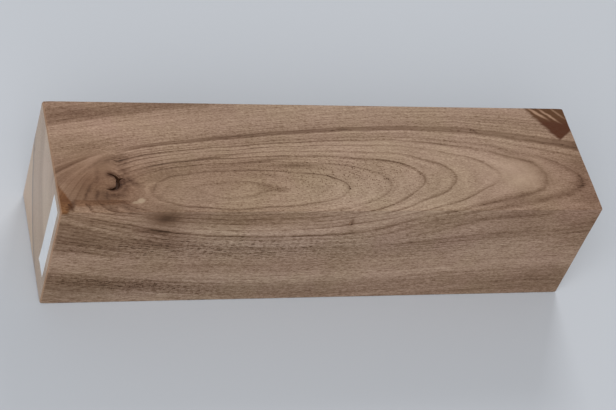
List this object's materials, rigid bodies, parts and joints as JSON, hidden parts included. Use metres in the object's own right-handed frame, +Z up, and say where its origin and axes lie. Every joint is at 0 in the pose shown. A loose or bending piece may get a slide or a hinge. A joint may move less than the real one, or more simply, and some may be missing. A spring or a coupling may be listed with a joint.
{
  "type": "wood turning blank",
  "caption": "Square hardwood billet, sawn and planed with eased edges, long axis along the grain, with a knot check on one face and a bare paper strip on one end; stock for turning on a lathe.",
  "frame": {"origin": "middle of the underside, on the floor the blank lies on", "axes": "+X along the grain, away from the end with the paper strip; +Y towards the back; +Z up, out of the face with the knot"},
  "size_m": [0.3053, 0.0762, 0.0762],
  "materials": {
    "walnut": "sanded, unfinished",
    "label_paper": "matte"
  },
  "bodies": {
    "root": {"blank": "walnut", "end_label": "label_paper"}
  },
  "joints": []
}
